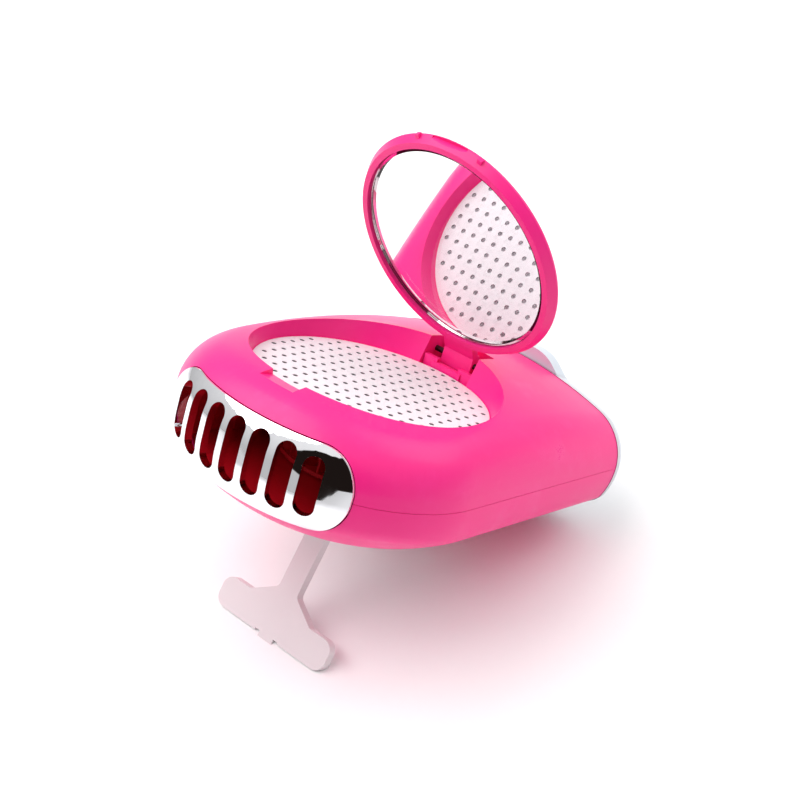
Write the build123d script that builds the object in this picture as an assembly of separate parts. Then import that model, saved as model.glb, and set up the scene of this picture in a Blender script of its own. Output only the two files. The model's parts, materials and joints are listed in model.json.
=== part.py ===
from build123d import *
import math
import os

# Eyelash extension fan: a palm-sized blower with a mirror lid over its air intake,
# standing on its T-shaped kickstand and its rear edge. All lengths are millimetres.
# Pieces are drawn in the body's own frame: X across, Y rearwards, Z up from the
# face of the intake plate. stand_up() then tips the nose up onto the kickstand.

# Outer form of the body
body_half_width = 41.8
nose_front_y = -45.0
nose_front_radius = 57.5
nose_shoulder_radius = 36.0
pink_rear_y = 58.0
bottom_z = -33.0
dome_crest_y = 12.0
dome_crest_z = 8.2
dome_long_radius = 312.0
dome_cross_radius = 120.0
top_round = 13.4
bottom_round = 20.2
belly_axis_y = -3.4
belly_flat_half = 8.0
belly_round = 50.2
belly_edge_round = 6.0
belly_edge_rise = 7.5
form_length_y = 90.0

# Shells
shell_wall = 2.0
parting_z = -11.75
parting_gap = 0.12
part_clearance = 0.2
thin_clearance = 0.05

# Recess in the top and its intake plate
recess_rim_radius = 32.5
recess_foot_radius = 30.3
recess_rim_z = 7.0
tray_wall = 1.8
plate_radius = 30.0
plate_thickness = 1.2
hole_radius = 0.68
hole_pitch = 3.53
hole_offset_x = 0.88
hole_offset_y = 0.28
hole_margin = 0.35
filter_thickness = 0.8
filter_radius = 29.8
intake_bore_radius = 27.4
tray_floor_thickness = 1.2
thumb_notch_width = 10.6
thumb_notch_reach = 4.6
thumb_notch_depth = 1.2
thumb_notch_slope = 8.0

# Mirror lid and its hinge
lid_open_angle = 60.0
hinge_y = 35.5
hinge_z = 3.5
lid_drop = 0.7
lid_radius = 30.8
lid_lip_radius = 29.5
lid_mouth_radius = 27.9
lid_depth = 3.0
lid_flare_depth = 2.2
lid_back_round = 0.7
lid_back_crown = 2.4
lid_pocket_depth = 2.85
glass_radius = 27.7
glass_thickness = 2.0
glass_bevel = 0.7
pad_radius = 24.0
pad_thickness = 0.25
latch_notch_width = 10.6
latch_notch_depth = 0.8
latch_rib_offset = 9.5
latch_rib_width = 1.2
latch_rib_height = 0.4
knuckle_radius = 2.9
knuckle_face_y = 34.0
knuckle_low_z = 1.8
knuckle_top_z = 6.4
knuckle_bevel = 0.9
knuckle_width = 9.6
pin_radius = 0.75
pin_bore_gap = 0.05
hinge_bay_width = 16.0
hinge_bay_front_y = 28.0
hinge_bay_rear_y = 38.9
hinge_boss_width = 3.4
block_front_y = 29.2
block_floor_z = -2.6
block_floor_thickness = 1.6
block_step_y = 30.6
block_step_top_z = 1.6
block_step_width = 9.4
block_wall_thickness = 1.4
block_wall_top_z = 2.6
block_tab_width = 4.3
block_rear_top_z = 0.6

# Outlet grille
grille_half_width = 29.0
grille_top_z = -1.1
grille_low_z = -21.8
grille_corner = 9.5
grille_proud = 0.4
grille_thickness = 2.0
grille_edge_round = 0.3
grille_prism_depth = 30.0
slot_count = 7
slot_pitch = 7.0
slot_width = 5.1
slot_top_z = -2.9
slot_low_z = -18.9
end_slot_shorter = 0.9

# Blower
fan_axis_y = 1.0
scroll_floor_z = -22.6
scroll_wall = 1.5
scroll_top_z = -4.9
scroll_start_radius = 21.5
scroll_growth = 2.2
scroll_mouth_half = 25.0
mouth_hood_depth = 8.5
mouth_hood_top_z = -1.0
cover_thickness = 1.4
inlet_radius = 16.5
inlet_lip_height = 0.7
inlet_lip_wall = 1.2
impeller_radius = 19.0
impeller_blade_inner = 15.0
impeller_low_z = -20.4
impeller_top_z = -7.0
impeller_disc = 1.0
impeller_hub_radius = 12.9
impeller_ring_width = 1.8
blade_count = 24
blade_thickness = 0.7
motor_radius = 11.5
motor_height = 9.0
shaft_radius = 1.0
shaft_bore_gap = 0.05
motor_screw_offset = 7.0

# Kickstand and base plate
stand_hinge_y = -0.575
stand_hinge_z = -30.3
stand_lean = 18.0
stand_length = 40.25
stand_thickness = 2.6
stand_stem_width = 6.2
stand_bar_width = 37.6
stand_bar_height = 8.2
stand_bar_corner = 3.0
stand_inner_round = 2.0
stand_gusset_width = 21.0
stand_gusset_height = 4.6
stand_tab_width = 4.8
stand_tab_reach = 0.9
stand_tab_thickness = 1.6
stand_nick_width = 1.6
stand_nick_depth = 0.5
stand_barrel_radius = 2.1
stand_pin_radius = 0.8
stand_pin_length = 12.6
stand_fold_angle = 108.0
well_clearance = 0.6
well_wall = 1.2
base_plate_y = 11.2
base_plate_radius = 25.6
base_plate_low_z = -33.7
base_plate_rim_z = -29.2
base_plate_thickness = 2.4
base_seat_wall = 1.8

# Rear end
trim_width = 1.2
trim_proud = 0.15
cap_rear_y = 65.0
cap_dome_radius = 300.0
cap_edge_round = 3.0
cap_wall = 1.8
cap_spigot_length = 3.0
cap_spigot_wall = 1.5
pod_height = 3.7
pod_top_half = 10.5
pod_flank_half = 13.6
pod_foot_half = 20.5
pod_round = 1.0
button_radius = 4.6
button_z = -4.0
button_travel = 0.8
button_proud = 1.0
button_gap = 0.15
button_flange = 0.9
button_flange_thickness = 1.0
switch_width = 6.0
switch_depth = 3.2
switch_stem_radius = 1.6
socket_width = 8.0
socket_height = 3.0
socket_z = -17.5
socket_depth = 5.6
light_radius = 1.1
light_x = 12.0
light_z = -4.0
board_width = 42.0
board_low_z = -23.5
board_top_z = -0.9
board_thickness = 1.2
board_y = 56.8
board_boss_radius = 2.4
board_screw_x = 18.0
board_screw_z = -10.0

# Battery
battery_radius = 9.0
battery_length = 50.0
battery_y = 46.2
battery_z = -15.6
finger_well = 2.2
cradle_width = 48.0
cradle_rib = 3.0
cradle_depth = 14.0
cradle_rise = 7.0
cradle_floor = 1.0
cradle_floor_z = -27.15

# Screws and leads
screw_radius = 1.0
screw_head_radius = 1.9
screw_head_height = 1.4
boss_radius = 2.6
boss_front_x = 30.8
boss_front_y = -3.0
boss_rear_x = 30.2
boss_rear_y = 41.0
boss_seat_z = -20.0
boss_top_z = -1.0
screw_length = 15.0
lead_radius = 0.6
lead_gap = 1.9
lead_low_z = -25.45

# Places worked out from the sizes above
lip_z = hinge_z - lid_drop
trim_front_y = pink_rear_y + thin_clearance
cap_front_y = trim_front_y + trim_width + thin_clearance
motor_floor_z = scroll_floor_z + scroll_wall
stand_reach = stand_length + stand_tab_reach
stand_foot_y = stand_hinge_y - stand_reach * math.sin(math.radians(stand_lean))
stand_foot_z = stand_hinge_z - stand_reach * math.cos(math.radians(stand_lean))
nose_front_axis_y = nose_front_y + nose_front_radius
shoulder_offset = body_half_width - nose_shoulder_radius
nose_radius_step = nose_front_radius - nose_shoulder_radius
nose_shoulder_axis_y = nose_front_axis_y - math.sqrt(nose_radius_step**2 - shoulder_offset**2)
nose_joint_angle = math.asin(shoulder_offset / nose_radius_step)


def box_between(low, high):
    """A box from its lowest to its highest corner."""
    size = [high[i] - low[i] for i in range(3)]
    middle = [(high[i] + low[i]) / 2 for i in range(3)]
    return Pos(*middle) * Box(*size)


def upright(radius, low_z, high_z, x=0.0, y=0.0):
    """A cylinder standing along Z."""
    return Pos(x, y, (low_z + high_z) / 2) * Cylinder(radius, high_z - low_z)


def along_y(radius, low_y, high_y, x=0.0, z=0.0):
    """A cylinder lying along Y."""
    return Pos(x, (low_y + high_y) / 2, z) * Rot(X=90) * Cylinder(radius, high_y - low_y)


def along_x(radius, length, y=0.0, z=0.0):
    """A cylinder lying along X, centred on the body's middle plane."""
    return Pos(0, y, z) * Rot(Y=90) * Cylinder(radius, length)


def one_solid(shape):
    """The largest solid of a result, so that a sliver never becomes a piece."""
    return sorted(shape.solids(), key=lambda solid: solid.volume)[-1]


def shoulder_point(radius, angle):
    """A point of the nose's shoulder arc; the angle is measured from straight ahead."""
    return (shoulder_offset + radius * math.sin(angle), nose_shoulder_axis_y - radius * math.cos(angle))


def nose_place(length):
    """Where a length along the nose from its middle leads: x, y and the turn there."""
    along = abs(length)
    front_length = nose_front_radius * nose_joint_angle
    if along < front_length:
        angle = along / nose_front_radius
        x = nose_front_radius * math.sin(angle)
        y = nose_front_axis_y - nose_front_radius * math.cos(angle)
    else:
        angle = nose_joint_angle + (along - front_length) / nose_shoulder_radius
        x, y = shoulder_point(nose_shoulder_radius, angle)
    return math.copysign(x, length), y, math.copysign(angle, length)


def plan_face(inset):
    """Plan of the body: a flattened round nose and straight parallel sides."""
    half = body_half_width - inset
    radius = nose_shoulder_radius - inset
    joint_x, joint_y = shoulder_point(radius, nose_joint_angle)
    bend_x, bend_y = shoulder_point(radius, (nose_joint_angle + math.pi / 2) / 2)
    with BuildSketch() as sketch:
        with BuildLine():
            ThreePointArc((joint_x, joint_y), (0, nose_front_y + inset), (-joint_x, joint_y))
            ThreePointArc((-joint_x, joint_y), (-bend_x, bend_y), (-half, nose_shoulder_axis_y))
            Polyline(
                (-half, nose_shoulder_axis_y),
                (-half, form_length_y),
                (half, form_length_y),
                (half, nose_shoulder_axis_y),
            )
            ThreePointArc((half, nose_shoulder_axis_y), (bend_x, bend_y), (joint_x, joint_y))
        make_face()
    return sketch.sketch


def dome(inset):
    """Everything under the gently crowned top, as one revolved block."""
    radius = dome_cross_radius - inset
    crest = dome_crest_z - inset
    half = 1.5 * body_half_width
    drop = radius - math.sqrt(radius**2 - half**2)
    low = 2 * bottom_z
    with BuildSketch(Plane.XZ.offset(-dome_crest_y)) as sketch:
        with BuildLine():
            ThreePointArc((-half, crest - drop), (0, crest), (half, crest - drop))
            Polyline((half, crest - drop), (half, low), (-half, low), (-half, crest - drop))
        make_face()
    axis = Axis((0, dome_crest_y, dome_crest_z - dome_long_radius), (1, 0, 0))
    swing = 20
    return revolve(sketch.sketch.rotate(axis, -swing), axis, 2 * swing)


def belly(inset):
    """What is cut from below, where the belly rounds up to the nose and the sides."""
    radius = belly_round - inset
    centre_z = bottom_z + belly_round
    reach = belly_axis_y - nose_front_y + 8
    far = reach - belly_flat_half
    middle = far / 2
    overcut = 0.03
    with BuildSketch(Plane.XZ.offset(-belly_axis_y)) as sketch:
        with BuildLine():
            start = (belly_flat_half, centre_z - radius - overcut)
            half_way = (belly_flat_half + middle, centre_z - math.sqrt(radius**2 - middle**2))
            end = (reach, centre_z - math.sqrt(radius**2 - far**2))
            ThreePointArc(start, half_way, end)
            Polyline(end, (reach, 2 * bottom_z), (belly_flat_half, 2 * bottom_z), start)
        make_face()
    front = revolve(sketch.sketch, Axis((0, belly_axis_y, 0), (0, 0, 1)), -180)
    side = extrude(sketch.sketch, -(form_length_y - belly_axis_y))
    return front + side + mirror(side, Plane.YZ)


def belly_edges(block, cut, body):
    """The low edge all round, where the belly meets the nose and the sides."""
    fresh = new_edges(block, cut, combined=body)
    above = bottom_z + belly_edge_rise
    return fresh.filter_by(lambda edge: edge.center().Z > above and edge.center().Y < form_length_y - 1)


def outer_form(inset=0.0):
    """The whole body as one block, drawn in all round by inset."""
    floor_z = bottom_z + inset
    block = extrude(Pos(0, 0, floor_z) * plan_face(inset), 60)
    low_edges = block.edges().filter_by(
        lambda edge: abs(edge.center().Z - floor_z) < 0.001 and edge.center().Y < form_length_y - 0.001
    )
    block = fillet(low_edges, bottom_round - inset)
    block = one_solid(block & dome(inset))
    high_edges = block.edges().filter_by(
        lambda edge: edge.center().Z > -3 and edge.center().Y < form_length_y - 1
    )
    block = fillet(high_edges, top_round - inset)
    cut = belly(inset)
    body = one_solid(block - cut)
    if inset <= 0:
        body = fillet(belly_edges(block, cut, body), belly_edge_round)
    return body


def slab(low_y, high_y, low_z=-80.0, high_z=40.0):
    """A slab across the body, used to keep one length or height of the form."""
    return box_between((-60, low_y, low_z), (60, high_y, high_z))


def grille_outline(margin):
    """Front view of the grille: a wide rounded rectangle."""
    height = grille_top_z - grille_low_z + 2 * margin
    width = 2 * grille_half_width + 2 * margin
    return RectangleRounded(width, height, grille_corner + margin)


def grille_prism(margin):
    """The grille's outline carried through the nose along Y."""
    middle_z = (grille_top_z + grille_low_z) / 2
    front = nose_front_y - 5
    face = Plane(origin=(0, front, middle_z), x_dir=(1, 0, 0), z_dir=(0, -1, 0)) * grille_outline(margin)
    return extrude(face, -grille_prism_depth)


def hinge_frame_turn(shape, angle):
    """Turns a piece of the closed lid about the hinge pin; positive opens it."""
    return Pos(0, hinge_y, hinge_z) * Rot(X=-angle) * Pos(0, -hinge_y, -hinge_z) * shape


def recess_cut():
    """The round recess, its plate seat and the bore under it."""
    flare = (recess_rim_radius - recess_foot_radius) / recess_rim_z
    high = recess_rim_z + 10
    with BuildSketch(Plane.XZ) as sketch:
        with BuildLine():
            seat_z = -plate_thickness - filter_thickness - thin_clearance
            seat = plate_radius + thin_clearance
            Polyline(
                (0, high),
                (recess_foot_radius + flare * high, high),
                (recess_foot_radius, 0),
                (seat, 0),
                (seat, seat_z),
                (intake_bore_radius, seat_z),
                (intake_bore_radius, seat_z - 8),
                (0, seat_z - 8),
                (0, high),
            )
        make_face()
    return revolve(sketch.sketch, Axis.Z)


def thumb_notch_cut():
    """A sloping finger notch in the recess's front rim."""
    rim_y = -recess_rim_radius
    depth = thumb_notch_reach + 3
    cutter = Box(thumb_notch_width, depth, 8, align=(Align.CENTER, Align.MIN, Align.MIN))
    cutter = fillet(cutter.edges().filter_by(Axis.Z), 1.2)
    top = dome_crest_z - (dome_crest_y - rim_y) ** 2 / (2 * dome_long_radius)
    low = top - thumb_notch_depth / 2
    return Pos(0, rim_y - thumb_notch_reach, low) * Rot(X=-thumb_notch_slope) * cutter


def boss_places():
    """The four screw bosses that join the shells."""
    return [
        (boss_front_x, boss_front_y),
        (-boss_front_x, boss_front_y),
        (boss_rear_x, boss_rear_y),
        (-boss_rear_x, boss_rear_y),
    ]


def upper_shell(outer, inner):
    """Top casing with the recess tray, the hinge bay and the grille opening."""
    above = slab(-80, pink_rear_y, parting_z)
    shell = (outer - inner) & above
    shell = shell - grille_prism(0.15)
    tray_low = -plate_thickness - filter_thickness - thin_clearance - tray_floor_thickness
    tray = upright(recess_rim_radius + tray_wall, tray_low, dome_crest_z + 5)
    bay_wall = hinge_boss_width
    bay_half = hinge_bay_width / 2 + bay_wall
    bay = box_between((-bay_half, hinge_bay_front_y, tray_low), (bay_half, hinge_bay_rear_y + 1.4, 20))
    shell = shell + ((tray + bay) & outer & above)
    for x, y in boss_places():
        shell = shell + (upright(boss_radius, parting_z, boss_top_z, x, y) & outer)
    half = hinge_bay_width / 2
    hollow = recess_cut() + thumb_notch_cut()
    hollow = hollow + box_between((-half, hinge_bay_front_y, 0), (half, hinge_bay_rear_y, 20))
    hollow = hollow + box_between((-half, block_front_y, tray_low - 1), (half, hinge_bay_rear_y, 1))
    shell = shell - hollow
    shell = shell - along_x(pin_radius + pin_bore_gap, 2 * (half + bay_wall - 0.8), hinge_y, hinge_z)
    for x, y in boss_places():
        shell = shell - upright(screw_radius + thin_clearance, parting_z - 1, boss_top_z - 1.6, x, y)
    return one_solid(shell)


def stand_outline(margin):
    """Front view of the T: stem, gussets and foot bar, with the pivot at 0, 0."""
    stem = stand_stem_width / 2 + margin
    bar = stand_bar_width / 2 + margin
    gusset = stand_gusset_width / 2 + margin
    foot = -stand_length - margin
    bar_top = -(stand_length - stand_bar_height) + margin
    gusset_top = bar_top + stand_gusset_height
    with BuildSketch() as sketch:
        with BuildLine():
            Polyline(
                (-stem, 0),
                (-stem, gusset_top),
                (-gusset, bar_top),
                (-bar, bar_top),
                (-bar, foot),
                (bar, foot),
                (bar, bar_top),
                (gusset, bar_top),
                (stem, gusset_top),
                (stem, 0),
                (-stem, 0),
            )
        make_face()
        corners = sketch.vertices().filter_by(lambda vertex: abs(abs(vertex.X) - bar) < 0.01)
        fillet(corners, stand_bar_corner)
        bends = sketch.vertices().filter_by(lambda vertex: abs(vertex.Y - gusset_top) < 0.01)
        fillet(bends, stand_inner_round)
        Circle(stand_barrel_radius + margin)
    return sketch.sketch


def stand_well_cut():
    """The T-shaped well that takes the folded stand, open downwards."""
    high = stand_hinge_z + stand_thickness / 2 + well_clearance
    low = bottom_z - 5
    face = Pos(0, stand_hinge_y, low) * (mirror(stand_outline(well_clearance), Plane.XZ))
    well = extrude(face, high - low)
    reach = stand_barrel_radius + well_clearance
    half = stand_stem_width / 2 + well_clearance
    barrel_top = stand_hinge_z + reach
    front = box_between(
        (-half, stand_hinge_y - reach, low), (half, stand_hinge_y + reach, barrel_top)
    )
    foot_y = stand_hinge_y + stand_length
    nail = box_between((-stand_tab_width, foot_y, low), (stand_tab_width, foot_y + finger_well, high))
    return well + front + nail


def stand_well_block():
    """Walls and roof that close the well off from the inside of the body."""
    high = stand_hinge_z + stand_thickness / 2 + well_clearance + well_wall
    low = bottom_z
    margin = well_clearance + well_wall
    face = Pos(0, stand_hinge_y, low) * (mirror(stand_outline(margin), Plane.XZ))
    block = extrude(face, high - low)
    reach = stand_barrel_radius + margin
    half = stand_pin_length / 2 + 0.8
    hood = box_between(
        (-half, stand_hinge_y - reach, low),
        (half, stand_hinge_y + reach, stand_hinge_z + reach),
    )
    foot_y = stand_hinge_y + stand_length
    nail_half = stand_tab_width + well_wall
    nail = box_between((-nail_half, foot_y, low), (nail_half, foot_y + finger_well + well_wall, high))
    return block + hood + nail


def stand_pin_bore():
    """Bore across the well for the stand's pin."""
    return along_x(stand_pin_radius + pin_bore_gap, stand_pin_length + 0.2, stand_hinge_y, stand_hinge_z)


def base_seat_top():
    """Top of the shallow seat that takes the base plate."""
    return base_plate_low_z + base_plate_thickness + thin_clearance


def lower_shell(outer, inner):
    """Bottom casing with the stand's well, the base plate's seat and screw bosses."""
    below = slab(-80, pink_rear_y, -80, parting_z - parting_gap)
    shell = (outer - inner) & below
    seat = base_seat_top()
    pad_top = seat + base_seat_wall
    pad = upright(base_plate_radius + base_seat_wall, bottom_z, pad_top, 0, base_plate_y)
    shell = shell + ((stand_well_block() + pad) & outer & below)
    for x, y in boss_places():
        shell = shell + (upright(boss_radius, bottom_z, parting_z - parting_gap, x, y) & outer)
    shell = shell - upright(
        base_plate_radius + part_clearance, bottom_z - 5, seat, 0, base_plate_y
    )
    shell = shell - stand_well_cut()
    shell = shell - stand_pin_bore()
    shell = shell - grille_prism(0.15)
    for x, y in boss_places():
        shell = shell - upright(screw_radius + part_clearance, bottom_z, parting_z + 1, x, y)
        shell = shell - upright(screw_head_radius + part_clearance, bottom_z - 5, boss_seat_z, x, y)
    for x, y in base_screw_places():
        shell = shell - upright(screw_radius + thin_clearance, seat - 1, seat + base_seat_wall + 1, x, y)
    return one_solid(shell)


def base_screw_places():
    """Three screws that hold the base plate."""
    reach = base_plate_radius - 4.5
    spots = [-150, -30]
    places = []
    for spot in spots:
        angle = math.radians(spot)
        places.append((reach * math.cos(angle), base_plate_y + reach * math.sin(angle)))
    return places


def base_plate():
    """White disc under the body, fitted to the belly and cut through for the stand's well."""
    top = base_plate_low_z + base_plate_thickness
    plate = upright(base_plate_radius, base_plate_low_z, base_plate_rim_z, 0, base_plate_y)
    plate = chamfer(plate.edges().group_by(Axis.Z)[0], 0.4)
    plate = plate - (outer_form(-thin_clearance) & slab(-80, 80, top))
    plate = plate - stand_well_cut()
    plate = plate - stand_pin_bore()
    for x, y in base_screw_places():
        plate = plate - upright(screw_radius + thin_clearance, base_plate_low_z - 1, top + 1, x, y)
        head_top = base_plate_low_z + screw_head_height
        plate = plate - upright(screw_head_radius + thin_clearance, base_plate_low_z - 1, head_top, x, y)
    return plate


def base_screws():
    """Countersunk screws of the base plate."""
    screws = []
    for x, y in base_screw_places():
        head_top = base_plate_low_z + screw_head_height - thin_clearance
        head = upright(screw_head_radius, base_plate_low_z + 0.2, head_top, x, y)
        shank_top = base_seat_top() + base_seat_wall
        screws.append(head + upright(screw_radius, head_top, shank_top, x, y))
    return screws


def outlet_grille():
    """Chrome grille that wraps the nose, with its row of upright slots."""
    skin = outer_form(-grille_proud) - outer_form(grille_thickness - grille_proud)
    plate = one_solid(skin & grille_prism(0))
    middle_z = (slot_top_z + slot_low_z) / 2
    for index in range(slot_count):
        place = index - (slot_count - 1) / 2
        slot_height = slot_top_z - slot_low_z
        if index in (0, slot_count - 1):
            slot_height = slot_height - 2 * end_slot_shorter
        x, y, turn = nose_place(place * slot_pitch)
        face = Plane.XZ * SlotOverall(slot_height, slot_width, rotation=90)
        cutter = extrude(face, 6, both=True)
        plate = plate - Pos(x, y, middle_z) * Rot(Z=math.degrees(turn)) * cutter
    return one_solid(plate)


def scroll_outline(margin):
    """Plan of the blower scroll: a growing spiral of arcs that opens to the nose."""
    start = scroll_start_radius + margin
    step = scroll_growth
    mouth = scroll_mouth_half + margin
    front = nose_front_y
    radii = [start, start + step, start + 2 * step, start + 3 * step]
    with BuildSketch() as sketch:
        with BuildLine():
            left = (-radii[0], fan_axis_y)
            top = (0, fan_axis_y + radii[1])
            right = (radii[2], fan_axis_y)
            rear_left = 0.7071 * (radii[0] + radii[1]) / 2
            rear_right = 0.7071 * (radii[1] + radii[2]) / 2
            bend_a = (-rear_left, fan_axis_y + rear_left)
            bend_b = (rear_right, fan_axis_y + rear_right)
            ThreePointArc(left, bend_a, top)
            ThreePointArc(top, bend_b, right)
            Polyline(
                right,
                (mouth, fan_axis_y - radii[3]),
                (mouth, front),
                (-mouth, front),
                (-mouth, fan_axis_y - radii[3] * 0.8),
                left,
            )
        make_face()
    return sketch.sketch


def blower_scroll():
    """Scroll pan and outlet duct, open at the nose behind the grille."""
    high = scroll_top_z
    pan = extrude(Pos(0, 0, scroll_floor_z) * scroll_outline(scroll_wall), high - scroll_floor_z)
    hollow = extrude(Pos(0, 0, motor_floor_z) * scroll_outline(0), high - motor_floor_z + 1)
    pan = (pan - hollow) & outer_form(shell_wall + part_clearance)
    for side in (-1, 1):
        x = side * motor_screw_offset
        bore = upright(screw_radius + thin_clearance, scroll_floor_z - 1, motor_floor_z + 1, x, fan_axis_y)
        pan = pan - bore
    return one_solid(pan)


def scroll_cover():
    """Lid of the scroll with the raised inlet lip under the dust filter."""
    low = scroll_top_z + thin_clearance
    cover = extrude(Pos(0, 0, low) * scroll_outline(scroll_wall), cover_thickness)
    cover = cover & outer_form(shell_wall + part_clearance)
    lip_top = low + cover_thickness + inlet_lip_height
    lip = upright(inlet_radius + inlet_lip_wall, low, lip_top, 0, fan_axis_y)
    cover = cover + lip
    cover = cover - upright(inlet_radius, low - 1, low + 5, 0, fan_axis_y)
    hood_rear = nose_front_y + mouth_hood_depth + 2
    mouth = slab(-60, hood_rear)
    hood = extrude(Pos(0, 0, low) * scroll_outline(scroll_wall), mouth_hood_top_z - low) & mouth
    hood = hood & outer_form(shell_wall + part_clearance)
    passage = extrude(Pos(0, 0, low - 1) * scroll_outline(0), mouth_hood_top_z - cover_thickness - low + 1)
    cover = (cover + hood) - (passage & slab(-60, hood_rear - cover_thickness))
    return one_solid(cover)


def impeller():
    """Squirrel-cage wheel: hub cup over the motor, back disc, blades and top ring."""
    disc_top = impeller_low_z + impeller_disc
    hub_top = motor_floor_z + motor_height + 0.6 + impeller_disc
    wheel = upright(impeller_radius, impeller_low_z, disc_top, 0, fan_axis_y)
    wheel = wheel + upright(impeller_hub_radius, impeller_low_z, hub_top, 0, fan_axis_y)
    cup = impeller_hub_radius - impeller_disc
    wheel = wheel - upright(cup, impeller_low_z - 1, hub_top - impeller_disc, 0, fan_axis_y)
    blade_length = impeller_radius - impeller_blade_inner - 0.3
    blade_mid = (impeller_radius + impeller_blade_inner) / 2
    for index in range(blade_count):
        turn = index * 360 / blade_count
        blade = Box(blade_thickness, blade_length, impeller_top_z - disc_top + 0.4)
        blade = Rot(Z=turn) * Pos(0, blade_mid, 0) * Rot(Z=-28) * blade
        wheel = wheel + Pos(0, fan_axis_y, (impeller_top_z + disc_top) / 2) * blade
    ring = upright(impeller_radius, impeller_top_z - 1, impeller_top_z, 0, fan_axis_y)
    ring_bore = impeller_radius - impeller_ring_width
    ring = ring - upright(ring_bore, impeller_top_z - 2, impeller_top_z + 1, 0, fan_axis_y)
    wheel = wheel + ring
    wheel = wheel - upright(shaft_radius - thin_clearance / 5, impeller_low_z, hub_top + 1, 0, fan_axis_y)
    return one_solid(wheel)


def motor_shaft():
    """Steel shaft pressed into the impeller's hub."""
    hub_top = motor_floor_z + motor_height + 0.6 + impeller_disc
    return upright(shaft_radius - thin_clearance / 5, motor_floor_z + 1.2, hub_top, 0, fan_axis_y)


def fan_motor():
    """Motor can on the scroll floor, with a bore for the shaft."""
    low = motor_floor_z + thin_clearance
    can = upright(motor_radius, low, motor_floor_z + motor_height, 0, fan_axis_y)
    can = fillet(can.edges().group_by(Axis.Z)[-1], 0.8)
    bore = shaft_radius + shaft_bore_gap
    can = can - upright(bore, motor_floor_z + 1.0, motor_floor_z + 20, 0, fan_axis_y)
    for side in (-1, 1):
        x = side * motor_screw_offset
        can = can - upright(screw_radius + thin_clearance, low - 1, low + 3.2, x, fan_axis_y)
    return one_solid(can)


def motor_screws():
    """Two screws up through the scroll floor into the motor."""
    screws = []
    for side in (-1, 1):
        x = side * motor_screw_offset
        head_top = scroll_floor_z - thin_clearance
        head = upright(screw_head_radius, scroll_floor_z - screw_head_height, head_top, x, fan_axis_y)
        shank = upright(screw_radius, head_top, motor_floor_z + 3.0, x, fan_axis_y)
        screws.append(head + shank)
    return screws


def intake_plate():
    """White perforated disc: a square field of small round holes."""
    places = []
    reach = plate_radius - hole_radius - hole_margin
    count = int(plate_radius / hole_pitch) + 1
    for column in range(-count, count + 1):
        for row in range(-count, count + 1):
            x = column * hole_pitch + hole_offset_x
            y = row * hole_pitch + hole_offset_y
            if math.hypot(x, y) < reach:
                places.append((x, y))
    with BuildSketch(Plane.XY.offset(-plate_thickness)) as sketch:
        Circle(plate_radius)
        with Locations(*places):
            Circle(hole_radius, mode=Mode.SUBTRACT)
    return extrude(sketch.sketch, plate_thickness)


def dust_filter():
    """Pale fleece disc under the intake plate."""
    top = -plate_thickness - thin_clearance
    return upright(filter_radius, top - filter_thickness + thin_clearance, top)


def open_knuckle():
    """The lid's knuckle as it stands with the lid open: a barrel with a flat front face."""
    half = knuckle_width / 2
    barrel = along_x(knuckle_radius, knuckle_width, hinge_y, hinge_z)
    block = box_between((-half, knuckle_face_y, knuckle_low_z), (half, hinge_y + 1, knuckle_top_z))
    front_top = block.edges().filter_by(Axis.X).sort_by(lambda edge: edge.center().Z - edge.center().Y)[-1]
    block = chamfer(front_top, knuckle_bevel)
    return (barrel & slab(knuckle_face_y, hinge_y + 10)) + block


def closed_lid():
    """Mirror lid in its closed place: a shallow pan turned mouth down."""
    low = lip_z
    back = low + lid_depth
    crown_bend = (lid_radius / 2, back + lid_back_crown * 0.75)
    with BuildSketch(Plane.XZ) as sketch:
        with BuildLine():
            ThreePointArc((0, back + lid_back_crown), crown_bend, (lid_radius, back))
            Polyline(
                (lid_radius, back),
                (lid_radius, low + lid_flare_depth),
                (lid_lip_radius, low),
                (lid_mouth_radius, low),
                (lid_mouth_radius, low + lid_pocket_depth),
                (0, low + lid_pocket_depth),
                (0, back + lid_back_crown),
            )
        make_face()
        outside = sketch.vertices().filter_by(lambda vertex: vertex.X > lid_radius - 0.01)
        rim = outside.sort_by(lambda vertex: vertex.Y)[-1]
        fillet(rim, lid_back_round)
    lid = revolve(sketch.sketch, Axis.Z)
    arm_top = low + lid_depth - 0.6
    arm_low = hinge_z - 0.3
    half = knuckle_width / 2
    arm = box_between((-half, lid_radius - 3.2, arm_low), (half, hinge_y, arm_top))
    arm = arm - upright(lid_mouth_radius, low - 1, low + lid_pocket_depth)
    lid = lid + arm + hinge_frame_turn(open_knuckle(), -lid_open_angle)
    lid = lid - along_x(pin_radius + pin_bore_gap, knuckle_width + 2, hinge_y, hinge_z)
    notch_half = latch_notch_width / 2
    lid = lid - box_between(
        (-notch_half, -lid_radius - 2, low + 0.7),
        (notch_half, -lid_radius + latch_notch_depth, low + 2.4),
    )
    for side in (-1, 1):
        turn = math.degrees(math.asin(latch_rib_offset / lid_radius))
        rib = box_between(
            (-latch_rib_width / 2, -lid_radius - latch_rib_height, low + 1.0),
            (latch_rib_width / 2, -lid_radius + 1.2, low + 2.3),
        )
        lid = lid + Rot(Z=side * turn) * rib
    return one_solid(lid)


def closed_glass():
    """Round mirror glass, bevelled at its front edge."""
    top = lip_z + lid_pocket_depth - pad_thickness
    glass = upright(glass_radius, top - glass_thickness, top)
    return chamfer(glass.edges().group_by(Axis.Z)[0], glass_bevel)


def closed_pad():
    """Adhesive disc between the glass and the lid."""
    top = lip_z + lid_pocket_depth
    return upright(pad_radius, top - pad_thickness, top)


def hinge_pin():
    """Steel pin through the lid's knuckle, seated in the shell at both ends."""
    length = hinge_bay_width + 2 * (hinge_boss_width - 1.0)
    return along_x(pin_radius, length, hinge_y, hinge_z)


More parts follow.
